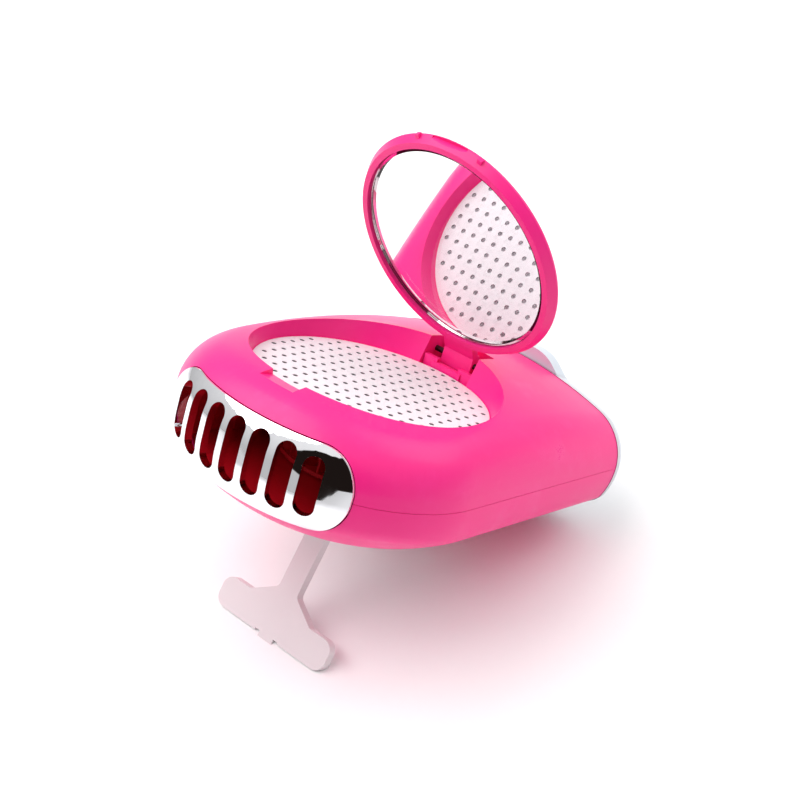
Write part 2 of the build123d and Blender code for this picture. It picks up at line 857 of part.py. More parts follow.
def hinge_block():
    """Stepped block that floors the hinge bay in front of and under the knuckle."""
    half = hinge_bay_width / 2 - part_clearance
    front = block_front_y + part_clearance
    rear = hinge_bay_rear_y - part_clearance
    floor_top = block_floor_z + block_floor_thickness
    block = box_between((-half, front, block_floor_z), (half, rear, floor_top))
    wall_rear = block_step_y + block_wall_thickness
    step_half = block_step_width / 2
    step = box_between((-step_half, front, block_floor_z), (step_half, wall_rear, block_step_top_z))
    block = block + step
    tab_inner = half - block_tab_width
    for side in (-1, 1):
        near = min(side * half, side * tab_inner)
        block = block + box_between(
            (near, block_step_y, block_floor_z), (near + block_tab_width, wall_rear, block_wall_top_z)
        )
    block = block + box_between(
        (-half, rear - block_wall_thickness, block_floor_z), (half, rear, block_rear_top_z)
    )
    block = block - upright(recess_foot_radius + part_clearance, block_floor_z - 1, 12)
    return one_solid(block)


def kickstand():
    """T-shaped stand, drawn hanging from its pivot and then leant forward."""
    front = -stand_thickness / 2
    plate = extrude(Plane.XZ * stand_outline(0), stand_thickness / 2, both=True)
    tab_half = stand_tab_width / 2
    for side in (-1, 1):
        near = min(side * tab_half, side * (tab_half + stand_nick_width))
        nick_top = -stand_length + stand_nick_depth
        plate = plate - box_between((near, front - 1, nick_top - 2), (near + stand_nick_width, 5, nick_top))
    tab = box_between(
        (-tab_half, front, -stand_reach), (tab_half, front + stand_tab_thickness, -stand_length + 1)
    )
    barrel = along_x(stand_barrel_radius, stand_stem_width)
    shape = plate + tab + barrel
    shape = shape - along_x(stand_pin_radius + pin_bore_gap, stand_stem_width + 2)
    bevel = Box(60, 20, 20, align=(Align.CENTER, Align.CENTER, Align.MAX))
    shape = shape - Pos(0, front, -stand_reach) * Rot(X=stand_lean + stand_pitch()) * bevel
    return one_solid(Pos(0, stand_hinge_y, stand_hinge_z) * Rot(X=-stand_lean) * shape)


def kickstand_pin():
    return along_x(stand_pin_radius, stand_pin_length, stand_hinge_y, stand_hinge_z)


def cap_block(inset):
    """Rear end of the body as one block, closed by a shallow dome."""
    middle_z = (bottom_z + dome_crest_z) / 2
    ball = Pos(0, cap_rear_y - cap_dome_radius, middle_z) * Sphere(cap_dome_radius - inset)
    block = one_solid(outer_form(inset) & ball & slab(cap_front_y - 2, 90))
    if inset < cap_edge_round:
        rear_edges = block.edges().filter_by(lambda edge: edge.center().Y > cap_front_y)
        block = fillet(rear_edges, cap_edge_round - inset)
    return block & slab(cap_front_y, 90)


def pod():
    """Smooth raised pod over the top middle of the rear cap."""
    front = cap_front_y
    rear = cap_rear_y - 1.2
    base = dome_crest_z - (rear - dome_crest_y) ** 2 / (2 * dome_long_radius)
    low = base - 5
    foot_z = base - pod_foot_half**2 / (2 * dome_cross_radius) - 0.2
    flank_z = base + 0.45 * pod_height
    shoulder_z = base + 0.9 * pod_height
    with BuildSketch(Plane.XZ.offset(-front)) as sketch:
        with BuildLine():
            Spline(
                (-pod_foot_half, foot_z),
                (-pod_flank_half, flank_z),
                (-pod_top_half, shoulder_z),
                (0, base + pod_height),
                (pod_top_half, shoulder_z),
                (pod_flank_half, flank_z),
                (pod_foot_half, foot_z),
                tangents=[(1, 0.05), (1, -0.05)],
            )
            Polyline(
                (pod_foot_half, foot_z),
                (pod_foot_half, low),
                (-pod_foot_half, low),
                (-pod_foot_half, foot_z),
            )
        make_face()
    block = extrude(sketch.sketch, -(rear - front))
    crest = block.edges().filter_by(lambda edge: edge.center().Z > base and edge.center().Y > rear - 0.1)
    return fillet(crest, pod_round)


def rear_cap():
    """Chrome rear cap with its pod, spigot and board bosses."""
    spigot = (outer_form(shell_wall + 0.1) - outer_form(shell_wall + 0.1 + cap_spigot_wall)) & slab(
        pink_rear_y - cap_spigot_length, cap_front_y + 1
    )
    throat = outer_form(shell_wall + 0.1 + cap_spigot_wall) & slab(pink_rear_y - 5, cap_front_y + 2)
    hollow = cap_block(cap_wall) + throat
    cap = (cap_block(0) + pod()) - hollow
    cap = cap + spigot
    for side in (-1, 1):
        x = side * board_screw_x
        board_rear = board_y + board_thickness
        boss_rear = cap_rear_y - cap_wall - 0.4
        cap = cap + along_y(board_boss_radius, board_rear + thin_clearance, boss_rear, x, board_screw_z)
        cap = cap - along_y(screw_radius + thin_clearance, board_y, board_rear + 4, x, board_screw_z)
    cap = cap - along_y(button_radius + button_gap, cap_rear_y - 6, cap_rear_y + 2, 0, button_z)
    cap = cap - box_between(
        (-socket_width / 2 - 0.3, cap_rear_y - 8, socket_z - socket_height / 2 - 0.3),
        (socket_width / 2 + 0.3, cap_rear_y + 2, socket_z + socket_height / 2 + 0.3),
    )
    cap = cap - along_y(light_radius + thin_clearance, cap_rear_y - 8, cap_rear_y + 2, light_x, light_z)
    return one_solid(cap)


def rear_trim_ring():
    """Narrow chrome ring between the pink shells and the cap."""
    ring = outer_form(-trim_proud) - outer_form(shell_wall)
    return one_solid(ring & slab(trim_front_y, trim_front_y + trim_width))


def cap_face_y(x, z):
    """Where the cap's dome is, behind a point of the rear view."""
    middle_z = (bottom_z + dome_crest_z) / 2
    away = math.hypot(x, z - middle_z)
    return cap_rear_y - cap_dome_radius + math.sqrt(cap_dome_radius**2 - away**2)


def power_button():
    """Round push button in the cap, with an inner flange that keeps it in."""
    face = cap_face_y(0, button_z)
    inside = face - cap_wall - 0.3
    button = along_y(button_radius, inside, face + button_proud, 0, button_z)
    button = fillet(button.edges().group_by(Axis.Y)[-1], 0.6)
    flange_front = inside - button_flange_thickness
    flange = along_y(button_radius + button_flange, flange_front, inside, 0, button_z)
    stem_low = board_y + board_thickness + switch_depth + 0.1
    stem = along_y(switch_stem_radius + 0.4, stem_low, inside, 0, button_z)
    return one_solid(button + flange + stem)


def tact_switch():
    """Push switch on the board behind the button."""
    low = board_y + board_thickness + thin_clearance
    half = switch_width / 2
    rear = low + switch_depth - 1.0 - button_travel
    body = box_between((-half, low, button_z - half), (half, rear, button_z + half))
    stem = along_y(switch_stem_radius, low + 1, low + switch_depth - button_travel - 0.2, 0, button_z)
    return one_solid(body + stem)


def control_board():
    """Circuit board across the rear of the body."""
    board = box_between(
        (-board_width / 2, board_y, board_low_z), (board_width / 2, board_y + board_thickness, board_top_z)
    )
    for side in (-1, 1):
        x = side * board_screw_x
        board = board - along_y(screw_radius + thin_clearance, board_y - 1, board_y + 3, x, board_screw_z)
    return board


def board_screws():
    """Screws from the front of the board into the cap's bosses."""
    screws = []
    for side in (-1, 1):
        x = side * board_screw_x
        head_rear = board_y - thin_clearance
        head = along_y(screw_head_radius, board_y - screw_head_height, head_rear, x, board_screw_z)
        shank = along_y(screw_radius, head_rear, board_y + board_thickness + 3.6, x, board_screw_z)
        screws.append(head + shank)
    return screws


def usb_socket():
    """Charging socket: a folded metal can open at the rear."""
    low = board_y + board_thickness + thin_clearance
    rear = cap_rear_y - 1.2
    half_w = socket_width / 2
    half_h = socket_height / 2
    can = box_between((-half_w, low, socket_z - half_h), (half_w, rear, socket_z + half_h))
    can = fillet(can.edges().filter_by(Axis.Y), 1.0)
    mouth = box_between(
        (-half_w + 0.35, rear - socket_depth, socket_z - half_h + 0.35),
        (half_w - 0.35, rear + 1, socket_z + half_h - 0.35),
    )
    tongue = box_between(
        (-half_w + 1.8, rear - socket_depth, socket_z - 0.35), (half_w - 1.8, rear - 0.8, socket_z + 0.35)
    )
    return one_solid(can - mouth + tongue)


def light_pipe():
    """Clear pipe that carries the charge light to the rear face."""
    low = board_y + board_thickness + thin_clearance
    return along_y(light_radius, low, cap_face_y(light_x, light_z) - 0.1, light_x, light_z)


def battery_cell():
    """Round lithium cell lying across the rear of the body."""
    cell = along_x(battery_radius, battery_length, battery_y, battery_z)
    return fillet(cell.edges(), 0.8)


def battery_cradle():
    """Two saddles joined by a strip, standing on the lower shell, that carry the cell."""
    low = bottom_z + shell_wall + thin_clearance
    half = cradle_width / 2
    front = battery_y - cradle_depth / 2
    rear = battery_y + cradle_depth / 2
    cradle = box_between((-half, front, cradle_floor_z), (half, rear, cradle_floor_z + cradle_floor))
    for side in (-1, 1):
        near = min(side * half, side * (half - cradle_rib))
        top = battery_z - battery_radius + cradle_rise
        cradle = cradle + box_between((near, front, low), (near + cradle_rib, rear, top))
    cradle = cradle - along_x(battery_radius + thin_clearance, cradle_width + 2, battery_y, battery_z)
    return one_solid(cradle & outer_form(shell_wall + thin_clearance))


def wire(points):
    """A round lead through the given points, which leaves and arrives along Y."""
    path = Spline(*points, tangents=[(0, 1, 0), (0, 1, 0)])
    start = Plane(origin=path @ 0, z_dir=path % 0)
    return sweep(start * Circle(lead_radius), path=path)


def motor_leads():
    """Two leads from under the motor, below the cell and up to the board."""
    leads = []
    for index in (0, 1):
        x = 11.0 + index * lead_gap
        leads.append(
            wire(
                [
                    (x, fan_axis_y + 6.0, scroll_floor_z - 0.8),
                    (x, 16.0, lead_low_z + 0.6),
                    (x, battery_y - battery_radius, lead_low_z),
                    (x, battery_y, lead_low_z),
                    (x, board_y - 3.4, lead_low_z + 1.2),
                    (x, board_y - 0.1, board_low_z + 1.6),
                ]
            )
        )
    return leads


def battery_leads():
    """One lead from each end of the cell to the board."""
    leads = []
    for side in (-1, 1):
        leads.append(
            wire(
                [
                    (side * (battery_length / 2 + lead_radius + 0.15), battery_y, battery_z),
                    (side * (battery_length / 2 + 1.5), battery_y + 4.6, battery_z + 2.8),
                    (side * (battery_length / 2 + 0.4), board_y - 3.0, battery_z + 7.2),
                    (side * (board_width / 2 - 1.4), board_y - 0.1, battery_z + 9.6),
                ]
            )
        )
    return leads


def shell_screws():
    """Four screws up through the lower shell into the upper one."""
    screws = []
    for x, y in boss_places():
        head_top = boss_seat_z - thin_clearance
        head = upright(screw_head_radius, boss_seat_z - screw_head_height, head_top, x, y)
        shank = upright(screw_radius, head_top, boss_seat_z + screw_length, x, y)
        screws.append(head + shank)
    return screws


def stand_pitch():
    """Nose-up angle at which the foot bar and the cap's low edge share the floor."""
    corner_y = cap_face_y(0, bottom_z) - cap_edge_round
    corner_z = bottom_z + cap_edge_round
    lean = math.radians(stand_lean)
    foot_y = stand_foot_y - stand_thickness / 2 * math.cos(lean)
    foot_z = stand_foot_z + stand_thickness / 2 * math.sin(lean)
    run = corner_y - foot_y
    rise = corner_z - foot_z
    reach = math.hypot(run, rise)
    return math.degrees(math.atan2(rise, run) - math.asin(cap_edge_round / reach))


def stand_up(shape):
    """Tips the body's frame onto the floor."""
    return Rot(X=-stand_pitch()) * shape


def group(solids):
    return Compound(children=list(solids))


def all_pieces():
    outer = outer_form(0)
    inner = outer_form(shell_wall)
    open_lid = {
        "mirror_lid": closed_lid(),
        "mirror_glass": closed_glass(),
        "mirror_pad": closed_pad(),
    }
    pieces = {
        "upper_shell": upper_shell(outer, inner),
        "lower_shell": lower_shell(outer, inner),
        "outlet_grille": outlet_grille(),
        "blower_scroll": blower_scroll(),
        "scroll_cover": scroll_cover(),
        "impeller": impeller(),
        "motor_shaft": motor_shaft(),
        "fan_motor": fan_motor(),
        "motor_screws": group(motor_screws()),
        "intake_plate": intake_plate(),
        "dust_filter": dust_filter(),
        "hinge_pin": hinge_pin(),
        "hinge_block": hinge_block(),
        "kickstand": kickstand(),
        "kickstand_pin": kickstand_pin(),
        "base_plate": base_plate(),
        "base_screws": group(base_screws()),
        "rear_trim_ring": rear_trim_ring(),
        "rear_cap": rear_cap(),
        "power_button": power_button(),
        "tact_switch": tact_switch(),
        "control_board": control_board(),
        "board_screws": group(board_screws()),
        "usb_socket": usb_socket(),
        "light_pipe": light_pipe(),
        "battery_cell": battery_cell(),
        "battery_cradle": battery_cradle(),
        "shell_screws": group(shell_screws()),
        "motor_leads": group(motor_leads()),
        "battery_leads": group(battery_leads()),
    }
    for name, shape in open_lid.items():
        pieces[name] = hinge_frame_turn(shape, lid_open_angle)
    return pieces


os.makedirs("parts", exist_ok=True)
pitch = stand_pitch()
standing = {name: stand_up(shape) for name, shape in all_pieces().items()}
boxes = [shape.bounding_box() for shape in standing.values()]
floor = min(box.min.Z for box in boxes)
middle_y = (min(box.min.Y for box in boxes) + max(box.max.Y for box in boxes)) / 2
print("pitch", round(pitch, 3), "floor", round(floor, 3), "middle", round(middle_y, 3))
for name, shape in standing.items():
    placed = Pos(0, -middle_y, -floor) * shape
    export_step(placed, f"parts/{name}.step")
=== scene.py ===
import json
import math

import bmesh
import bpy
from mathutils import Matrix, Vector


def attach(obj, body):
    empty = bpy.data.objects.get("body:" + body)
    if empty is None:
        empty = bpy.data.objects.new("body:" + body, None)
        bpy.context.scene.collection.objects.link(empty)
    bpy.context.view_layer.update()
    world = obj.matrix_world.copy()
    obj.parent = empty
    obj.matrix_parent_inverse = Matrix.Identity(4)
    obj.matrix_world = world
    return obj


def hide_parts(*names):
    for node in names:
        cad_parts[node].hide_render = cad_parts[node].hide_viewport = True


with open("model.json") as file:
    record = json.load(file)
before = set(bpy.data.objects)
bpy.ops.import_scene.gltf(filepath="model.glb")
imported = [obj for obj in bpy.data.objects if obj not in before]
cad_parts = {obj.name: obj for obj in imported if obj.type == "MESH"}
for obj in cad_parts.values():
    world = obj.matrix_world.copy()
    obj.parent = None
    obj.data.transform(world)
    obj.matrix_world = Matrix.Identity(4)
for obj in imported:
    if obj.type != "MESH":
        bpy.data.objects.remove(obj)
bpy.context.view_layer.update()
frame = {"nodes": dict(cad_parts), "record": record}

# Camera: a short telephoto seen from the front right and above, as the photograph was taken.
# The body is tipped nose-up on its kickstand; stand_up carries a place in the body's own
# frame (X across, Y rearwards, Z up from the intake disc) to the table.
tip_angle = 25.225
stand_height = 56.339
middle_y = 6.13
lift = Matrix.Translation((0, -middle_y / 1000, stand_height / 1000))
stand_up = lift @ Matrix.Rotation(math.radians(-tip_angle), 4, "X")

scene = bpy.context.scene
camera = bpy.data.objects.new("camera", bpy.data.cameras.new("camera"))
scene.collection.objects.link(camera)
scene.camera = camera
camera.data.lens = 65.27
camera.data.sensor_width = 36.0
camera.data.clip_start = 0.01
camera_right = Vector((0.744, 0.6129, 0.2661))
camera_up = Vector((-0.4103, 0.1048, 0.9059))
camera_back = camera_right.cross(camera_up)
aim = Matrix((camera_right, camera_up, camera_back)).transposed()
aim = aim.to_quaternion().to_matrix().to_4x4()
camera.matrix_world = stand_up @ Matrix.Translation((0.1931, -0.2729, 0.1149)) @ aim


# Light: a studio tent, brighter overhead than at the table, a large soft lamp at the upper
# left and a smaller one behind. The dark room shows through the tent's open front, in what
# the chrome and the mirror reflect but not behind the product.
tent_at_table = 0.52
tent_overhead = 0.95
room_direction = Vector((0.49, -0.79, 0.37)).normalized()
room_edge = 0.822
room_edge_blur = 0.006
room_tint = (0.012, 0.008, 0.007, 1.0)

scene.view_settings.view_transform = "Standard"
tent = bpy.data.worlds.new("studio_tent")
scene.world = tent
tent.use_nodes = True
tent_tree = tent.node_tree


def tent_share(direction, low, high):
    """How near a way of looking is to a direction, from 0 at low to 1 at high."""
    look = tent_tree.nodes.new("ShaderNodeTexCoord")
    nearness = tent_tree.nodes.new("ShaderNodeVectorMath")
    nearness.operation = "DOT_PRODUCT"
    nearness.inputs[1].default_value = direction
    share = tent_tree.nodes.new("ShaderNodeMapRange")
    share.inputs["From Min"].default_value = low
    share.inputs["From Max"].default_value = high
    tent_tree.links.new(look.outputs["Generated"], nearness.inputs[0])
    tent_tree.links.new(nearness.outputs["Value"], share.inputs["Value"])
    return share.outputs["Result"]


def tent_mix(share, first, second):
    """A colour that goes from the first to the second as the share goes from 0 to 1."""
    blend = tent_tree.nodes.new("ShaderNodeMix")
    blend.data_type = "RGBA"
    tent_tree.links.new(share, blend.inputs[0])
    for socket, colour in ((blend.inputs[6], first), (blend.inputs[7], second)):
        if isinstance(colour, bpy.types.NodeSocket):
            tent_tree.links.new(colour, socket)
        else:
            socket.default_value = colour
    return blend.outputs[2]


tent_cloth = tent_mix(
    tent_share((0, 0, 1), 0.0, 1.0),
    (tent_at_table, tent_at_table, tent_at_table, 1),
    (tent_overhead, tent_overhead, tent_overhead, 1),
)
room_share = tent_share(room_direction, room_edge - room_edge_blur, room_edge + room_edge_blur)
tent_colour = tent_mix(room_share, tent_cloth, room_tint)
looked_at = tent_tree.nodes.new("ShaderNodeLightPath").outputs["Is Camera Ray"]
seen_colour = tent_mix(looked_at, tent_colour, tent_cloth)
tent_tree.links.new(seen_colour, tent_tree.nodes["Background"].inputs["Color"])


def soft_lamp(name, place, aim_at, size, power):
    """A square softbox that faces a point; places are in millimetres over the table."""
    lamp = bpy.data.objects.new(name, bpy.data.lights.new(name, "AREA"))
    scene.collection.objects.link(lamp)
    lamp.data.size = size
    lamp.data.energy = power
    start = Vector(place) / 1000
    direction = Vector(aim_at) / 1000 - start
    turn = direction.to_track_quat("-Z", "Y").to_matrix().to_4x4()
    lamp.matrix_world = Matrix.Translation(start) @ turn


soft_lamp("key_light", (-340, -210, 740), (0, 0, 50), 0.8, 5.6)
soft_lamp("rear_light", (250, 500, 500), (0, 20, 50), 0.5, 1.4)


# Table top: a sheet of matt white paper with the faint tone of its fibres, laid flat under
# the product and far past the edges of the picture.
class Flow:
    """A socket of a finish, so that its shader maths reads as plain sums."""

    def __init__(self, finish, socket):
        self.finish = finish
        self.socket = socket

    def sum_with(self, operation, first, second):
        values = {0: first, 1: second}
        return self.finish.node("ShaderNodeMath", {"operation": operation}, values)

    def __add__(self, other):
        return self.sum_with("ADD", self, other)

    __radd__ = __add__

    def __sub__(self, other):
        return self.sum_with("SUBTRACT", self, other)

    def __rsub__(self, other):
        return self.sum_with("SUBTRACT", other, self)

    def __mul__(self, other):
        return self.sum_with("MULTIPLY", self, other)

    __rmul__ = __mul__


class Finish:
    """A material of one Principled shader, whose nodes are added one at a time."""

    def __init__(self, name, **sockets):
        self.material = bpy.data.materials.new(name)
        self.material.use_nodes = True
        self.tree = self.material.node_tree
        self.shader = self.tree.nodes["Principled BSDF"]
        self.place = self.node("ShaderNodeTexCoord", out="Object")
        for socket, value in sockets.items():
            self.set(socket.replace("_", " "), value)

    def feed(self, socket, value):
        """Links a socket to a flow, or gives it a plain value."""
        if isinstance(value, Flow):
            self.tree.links.new(value.socket, socket)
        else:
            socket.default_value = value

    def set(self, socket, value):
        self.feed(self.shader.inputs[socket], value)

    def node(self, kind, settings=None, values=None, out=0):
        """Adds any node: its settings first, then the values or flows of its sockets."""
        made = self.tree.nodes.new(kind)
        for key, value in (settings or {}).items():
            setattr(made, key, value)
        for key, value in (values or {}).items():
            self.feed(made.inputs[key], value)
        return Flow(self, made.outputs[out])

    def noise(self, size_mm, detail=2.0, roughness=0.5, stretch=None):
        """Cloudy noise whose blots are about size_mm across."""
        place = self.place
        if stretch:
            place = self.node("ShaderNodeMapping", {}, {"Vector": place, "Scale": stretch})
        values = {"Vector": place, "Scale": 1000 / size_mm, "Detail": detail, "Roughness": roughness}
        return self.node("ShaderNodeTexNoise", {}, values)

    def between(self, value, low, high, at_low=0.0, at_high=1.0):
        """Carries a value from one range to another, and stops at its ends."""
        values = {"Value": value, "From Min": low, "From Max": high, "To Min": at_low, "To Max": at_high}
        return self.node("ShaderNodeMapRange", {}, values)

    def along(self, direction):
        """How far a point lies along a direction, in metres."""
        values = {0: self.place, 1: direction}
        return self.node("ShaderNodeVectorMath", {"operation": "DOT_PRODUCT"}, values, "Value")

    def mix(self, share, first, second):
        """A colour that goes from the first to the second as the share goes from 0 to 1."""
        return self.node("ShaderNodeMix", {"data_type": "RGBA"}, {0: share, 6: first, 7: second}, 2)

    def relief(self, height, strength, depth_mm, under=None):
        """Bumps of a given depth, over others if there are any."""
        values = {"Height": height, "Strength": strength, "Distance": depth_mm / 1000}
        if under:
            values["Normal"] = under
        return self.node("ShaderNodeBump", {}, values)


paper_shade = (0.955, 0.95, 0.955, 1)
paper_white = (0.975, 0.97, 0.975, 1)
sheet_reach = 3.0

paper = Finish("table_paper", Roughness=0.9)
paper_fibres = paper.noise(3.0, detail=4.0)
paper.set("Base Color", paper.mix(paper_fibres, paper_shade, paper_white))
paper.set("Normal", paper.relief(paper_fibres, 0.1, 0.02))

sheet_bm = bmesh.new()
bmesh.ops.create_grid(sheet_bm, x_segments=2, y_segments=2, size=sheet_reach)
sheet_mesh = bpy.data.meshes.new("table_top")
sheet_bm.to_mesh(sheet_mesh)
sheet_bm.free()
sheet_mesh.materials.append(paper.material)
table_top = bpy.data.objects.new("table_top", sheet_mesh)
scene.collection.objects.link(table_top)


# Upper and lower shell: two injection moulded halves in hot pink plastic with a satin,
# finely sparked surface. They meet on a line round the side and are screwed from below.
pink_bright = (0.98, 0.022, 0.262, 1)
pink_deep = (0.95, 0.016, 0.232, 1)
pink_rubbed = (0.985, 0.04, 0.305, 1)
shell_crease = 28


def moulded_plastic(name, bright, deep, rubbed, roughness):
    """Satin moulding: soft flow marks, a sparked grain and faint polish where it is handled."""
    finish = Finish(name, Specular_IOR_Level=0.35)
    flow_marks = finish.noise(26.0, detail=3.0)
    handled = finish.between(finish.noise(11.0, detail=5.0, roughness=0.6), 0.56, 0.72)
    grain = finish.noise(0.28, detail=2.0, roughness=0.6)
    body_colour = finish.mix(flow_marks, bright, deep)
    finish.set("Base Color", finish.mix(handled * 0.35, body_colour, rubbed))
    finish.set("Roughness", roughness + 0.10 * grain - 0.07 * handled)
    finish.set("Normal", finish.relief(grain, 0.35, 0.012, finish.relief(flow_marks, 0.15, 0.10)))
    return finish


def smooth_copy(name, crease, finish, bevel_mm=0.0):
    """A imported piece's own shape, merged and shaded smooth between its real edges."""
    source = frame["nodes"][name]
    bm = bmesh.new()
    bm.from_mesh(source.data)
    bmesh.ops.remove_doubles(bm, verts=bm.verts, dist=0.000002)
    for face in bm.faces:
        face.smooth = True
    for edge in bm.edges:
        if len(edge.link_faces) == 2 and edge.calc_face_angle() > math.radians(crease):
            edge.smooth = False
    mesh = bpy.data.meshes.new(name + "_visual")
    bm.to_mesh(mesh)
    bm.free()
    mesh.materials.append(finish.material)
    piece = bpy.data.objects.new(name + "_visual", mesh)
    scene.collection.objects.link(piece)
    if bevel_mm:
        rounding = piece.modifiers.new("rounding", "BEVEL")
        rounding.width = bevel_mm / 1000
        rounding.segments = 3
        rounding.limit_method = "ANGLE"
        rounding.angle_limit = math.radians(crease)
        rounding.harden_normals = True
    weighted = piece.modifiers.new("weighted", "WEIGHTED_NORMAL")
    weighted.keep_sharp = True
    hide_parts(name)
    body = [body for body, nodes in frame["record"]["behaviour"]["bodies"].items() if name in nodes][0]
    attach(piece, body)
    return piece


pink_plastic = moulded_plastic("pink_plastic", pink_bright, pink_deep, pink_rubbed, 0.30)
for name in ("upper_shell", "lower_shell"):
    smooth_copy(name, shell_crease, pink_plastic)


# Intake disc: white plastic pierced with a square field of small round holes, whose walls carry a
# dark band of painted shade between two white bands. It drops into the foot of the recess.
disc_white = (0.90, 0.845, 0.88, 1)
disc_shade = (0.86, 0.80, 0.84, 1)
hole_wall_painted_shade = (0.11, 0.085, 0.095, 1)
# Depths of the hole walls' painted shade: it fades in below the top face and out again above the lower
# white band.
painted_shade_upper_full = -0.00022
painted_shade_upper_start = -0.00006
painted_shade_lower_full = -0.00044
painted_shade_lower_end = -0.00056
disc_crease = 40
turn = math.radians(tip_angle)
height_shift = (middle_y * math.sin(turn) - stand_height * math.cos(turn)) / 1000

disc_plastic = Finish("intake_disc_plastic")
disc_cloud = disc_plastic.noise(9.0, detail=3.0)
disc_grain = disc_plastic.noise(0.2)
disc_depth = disc_plastic.along((0, math.sin(turn), math.cos(turn))) + height_shift
white_above_wall_shade = disc_plastic.between(disc_depth, painted_shade_upper_full, painted_shade_upper_start)
white_below_wall_shade = disc_plastic.between(disc_depth, painted_shade_lower_full, painted_shade_lower_end)
disc_face = disc_plastic.mix(disc_cloud, disc_white, disc_shade)
# Hole walls: a dark band painted between two white bands, as painted shade inside the holes.
disc_plastic.set("Base Color", disc_plastic.mix(white_above_wall_shade + white_below_wall_shade, hole_wall_painted_shade, disc_face))
disc_plastic.set("Roughness", 0.42 + 0.12 * disc_grain)
disc_plastic.set("Normal", disc_plastic.relief(disc_grain, 0.3, 0.01))
smooth_copy("intake_plate", disc_crease, disc_plastic)


# Dust filter: a thin disc of pale grey fleece under the pierced disc; its matted fibres
# show through the holes.
fleece_light = (0.93, 0.90, 0.93, 1)
fleece_dark = (0.80, 0.77, 0.80, 1)

fleece = Finish("filter_fleece", Roughness=0.95)
fleece_tufts = fleece.noise(1.2, detail=6.0, roughness=0.7)
fleece_fibres = fleece.noise(0.25, detail=4.0, stretch=(1.0, 0.25, 1.0))
fleece_tone = 0.5 * fleece_tufts + 0.5 * fleece_fibres
fleece.set("Base Color", fleece.mix(fleece_tone, fleece_dark, fleece_light))
fleece.set("Normal", fleece.relief(fleece_fibres, 0.8, 0.15))


def dress(name, finish):
    """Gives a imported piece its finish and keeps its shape."""
    materials = frame["nodes"][name].data.materials
    materials.clear()
    materials.append(finish.material)


dress("dust_filter", fleece)


# Outlet grille: one moulding that wraps the nose, plated in bright chrome, with seven
# upright slots. Its edges and the slots' edges are rounded before plating.
chrome_light = (0.95, 0.95, 0.97, 1)
chrome_smoke = (0.86, 0.86, 0.90, 1)
grille_crease = 30
grille_edge_round = 0.5


def chrome_plating(name, roughness, light, smoke):
    """Bright plating: the plastic's slight waves under it and a breath of haze."""
    finish = Finish(name, Metallic=1.0)
    waves = finish.noise(7.0, detail=1.0)
    haze = finish.noise(2.2, detail=5.0, roughness=0.65)
    finish.set("Base Color", finish.mix(haze, light, smoke))
    finish.set("Roughness", roughness + 0.03 * haze)
    finish.set("Normal", finish.relief(waves, 0.12, 0.03))
    return finish


bright_chrome = chrome_plating("bright_chrome", 0.02, chrome_light, chrome_smoke)
smooth_copy("outlet_grille", grille_crease, bright_chrome, grille_edge_round)


# Blower: scroll pan, cover and squirrel-cage wheel in pink plastic behind the grille, coloured deep red
# as painted shade.
# The cover snaps over the pan; the wheel is pressed on the motor's shaft.
# The pink is darkened to a deep red here: painted shade for the dark behind the grille's slots, on the
# scroll, cover and wheel alike.
duct_pink_shaded = (0.62, 0.003, 0.014, 1)
duct_pink_shaded_deep = (0.48, 0.002, 0.010, 1)
duct_pink_shaded_rubbed = (0.66, 0.006, 0.02, 1)
duct_crease = 30

duct_plastic = moulded_plastic("duct_plastic", duct_pink_shaded, duct_pink_shaded_deep, duct_pink_shaded_rubbed, 0.42)
for name in ("blower_scroll", "scroll_cover"):
    smooth_copy(name, duct_crease, duct_plastic)
wheel_plastic = moulded_plastic("wheel_plastic", duct_pink_shaded, duct_pink_shaded_deep, duct_pink_shaded_rubbed, 0.5)
smooth_copy("impeller", duct_crease, wheel_plastic)


# Motor: a zinc plated steel can on the scroll's floor, its ground shaft, and two screws.
zinc_light = (0.62, 0.62, 0.60, 1)
zinc_dark = (0.42, 0.43, 0.44, 1)
steel_light = (0.66, 0.66, 0.68, 1)
steel_dark = (0.40, 0.40, 0.42, 1)


def bare_metal(name, light, dark, roughness, grain_mm, stretch):
    """Turned, drawn or plated metal: fine lines along its working and small dull spots."""
    finish = Finish(name, Metallic=1.0)
    lines = finish.noise(grain_mm, detail=4.0, stretch=stretch)
    spots = finish.noise(1.6, detail=3.0)
    finish.set("Base Color", finish.mix(0.5 * lines + 0.5 * spots, light, dark))
    finish.set("Roughness", roughness + 0.22 * lines)
    finish.set("Normal", finish.relief(lines, 0.3, 0.01))
    return finish


zinc = bare_metal("zinc_plated_can", zinc_light, zinc_dark, 0.28, 0.9, (1, 1, 8))
steel = bare_metal("bright_steel", steel_light, steel_dark, 0.18, 0.3, (0.2, 1, 1))
for name, finish in (("fan_motor", zinc), ("motor_shaft", steel), ("motor_screws", steel)):
    dress(name, finish)


# Mirror lid: a shallow pink pan with a latch notch and two ribs at its free end and the
# hinge knuckle moulded on at the other.
smooth_copy("mirror_lid", shell_crease, pink_plastic)


# Mirror: a round of clear glass with a ground bevel, silvered on its back and held in the
# lid by an adhesive pad. What it shows is reflected at the back, through the glass.
glass_tint = (0.995, 1.0, 0.998, 1)
glass_faint = (0.985, 0.995, 0.99, 1)
silver = (0.99, 0.985, 0.99, 1)
silver_soft = (0.975, 0.965, 0.98, 1)
pad_pale = (0.80, 0.79, 0.74, 1)
pad_cell = (0.62, 0.60, 0.55, 1)
silver_radius = 27.5
silver_height = 5.36
lid_pin_y = 35.5
lid_pin_z = 3.5
lid_open_angle = 60
glass_crease = 30

